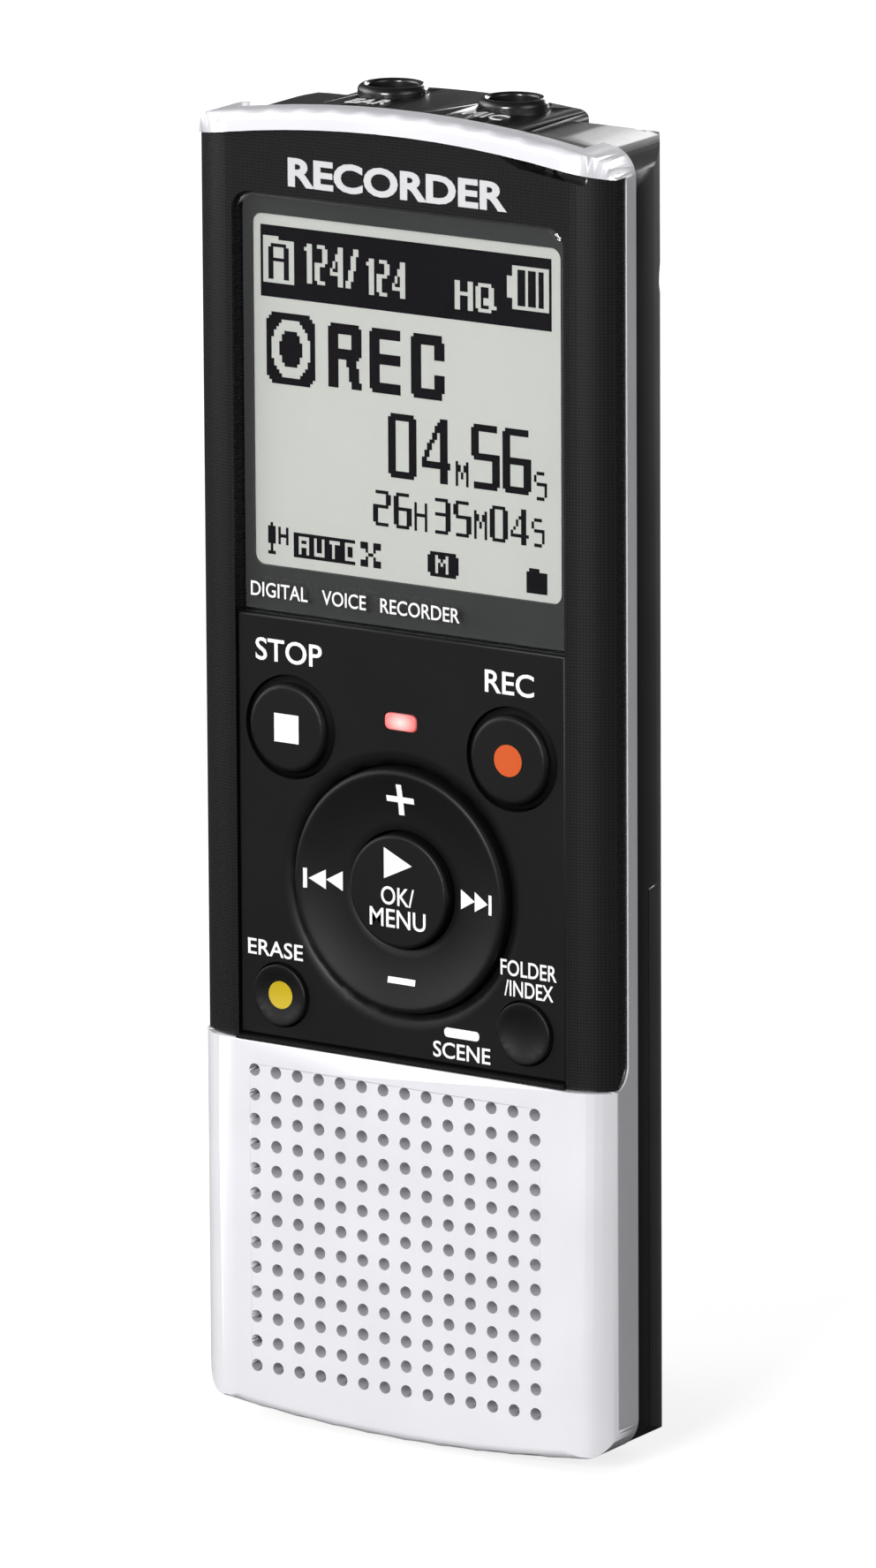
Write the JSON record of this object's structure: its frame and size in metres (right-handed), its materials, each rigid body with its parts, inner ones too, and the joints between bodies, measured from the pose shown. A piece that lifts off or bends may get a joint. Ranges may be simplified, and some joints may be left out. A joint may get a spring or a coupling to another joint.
{
  "type": "digital voice recorder",
  "caption": "Pocket voice recorder with a display, press keys, a four-way ring, a loudspeaker grille, two jacks, a side slider and a sliding battery cover.",
  "frame": {"origin": "under the middle of the outline, at the bottom end", "axes": "+Z along the body towards the jacks, -Y out of the display, +X to the right seen from the front"},
  "size_m": [0.0362, 0.0206, 0.1006],
  "materials": {
    "silver_plastic": "satin silver paint",
    "black_plastic": "satin black moulding",
    "black_rear": "dark glossy moulding",
    "white_ink": "white print",
    "key_black": "black key cap",
    "clear_window": "clear moulded window",
    "lcd_glass": "reflective liquid crystal glass",
    "white_plastic": "white moulding",
    "rubber": "moulded rubber",
    "board_green": "solder-masked board",
    "chip_black": "moulded packages",
    "steel": "plated steel",
    "spring_steel": "nickel-plated wire",
    "battery_skin": "printed sleeve on a metal can",
    "lamp_red": "red diffusing lens",
    "cloth": "black woven cloth",
    "cone_paper": "coated paper",
    "magnet": "plated magnet cup"
  },
  "bodies": {
    "case": {"silver_frame": "silver_plastic", "front_panel": "black_plastic", "keypad_plate": "black_plastic", "display_window": "clear_window", "display_holder": "black_plastic", "display_glass": "lcd_glass", "display_reflector": "white_plastic", "contact_strip": "rubber", "key_mat": "rubber", "key_domes": "steel", "lamp_lens": "lamp_red", "record_led": "white_plastic", "main_board": "board_green", "board_chips": "chip_black", "board_screws": "steel", "upper_case_screws": "steel", "lower_case_screws": "steel", "rear_shell": "black_rear", "top_cap": "black_rear", "earphone_jack": "black_plastic", "microphone_jack": "black_plastic", "usb_socket": "steel", "hold_switch": "steel", "battery_left": "battery_skin", "battery_right": "battery_skin", "battery_springs": "spring_steel", "contact_plates": "steel", "speaker_cloth": "cloth", "speaker_gasket": "rubber", "speaker_frame": "steel", "speaker_cone": "cone_paper", "speaker_magnet": "magnet", "microphone_boot": "rubber", "microphone_capsule": "steel"},
    "stop_key": {"stop_key": "key_black"},
    "record_key": {"record_key": "key_black"},
    "erase_key": {"erase_key": "key_black"},
    "folder_key": {"folder_key": "key_black"},
    "nav_rocker": {"nav_rocker": "white_plastic"},
    "nav_ring": {"nav_ring": "key_black"},
    "ok_key": {"ok_key": "key_black"},
    "hold_knob": {"hold_knob": "black_plastic"},
    "battery_cover": {"battery_cover": "black_rear"}
  },
  "joints": [
    {"name": "stop_press", "type": "slide", "parent": "case", "child": "stop_key", "axis": [0, 1, 0], "range_m": [0, 0.0003], "stiffness_N_per_m": 5000},
    {"name": "record_press", "type": "slide", "parent": "case", "child": "record_key", "axis": [0, 1, 0], "range_m": [0, 0.0003], "stiffness_N_per_m": 5000},
    {"name": "erase_press", "type": "slide", "parent": "case", "child": "erase_key", "axis": [0, 1, 0], "range_m": [0, 0.0003], "stiffness_N_per_m": 4000},
    {"name": "folder_press", "type": "slide", "parent": "case", "child": "folder_key", "axis": [0, 1, 0], "range_m": [0, 0.0003], "stiffness_N_per_m": 4000},
    {"name": "ok_press", "type": "slide", "parent": "case", "child": "ok_key", "axis": [0, 1, 0], "range_m": [0, 0.0003], "stiffness_N_per_m": 5000},
    {"name": "nav_rock_up_down", "type": "hinge", "parent": "case", "child": "nav_rocker", "pos_m": [0, -0.00775, 0.042], "axis": [1, 0, 0], "range_deg": [-1.2, 1.2], "stiffness_Nm_per_rad": 0.4},
    {"name": "nav_rock_sideways", "type": "hinge", "parent": "nav_rocker", "child": "nav_ring", "pos_m": [0, -0.00775, 0.042], "axis": [0, 0, 1], "range_deg": [-1.2, 1.2], "stiffness_Nm_per_rad": 0.4},
    {"name": "hold_slide", "type": "slide", "parent": "case", "child": "hold_knob", "axis": [0, 0, 1], "range_m": [-0.0015, 0.0015]},
    {"name": "battery_cover_slide", "type": "slide", "parent": "case", "child": "battery_cover", "axis": [0, 0, -1], "range_m": [0, 0.052]}
  ]
}
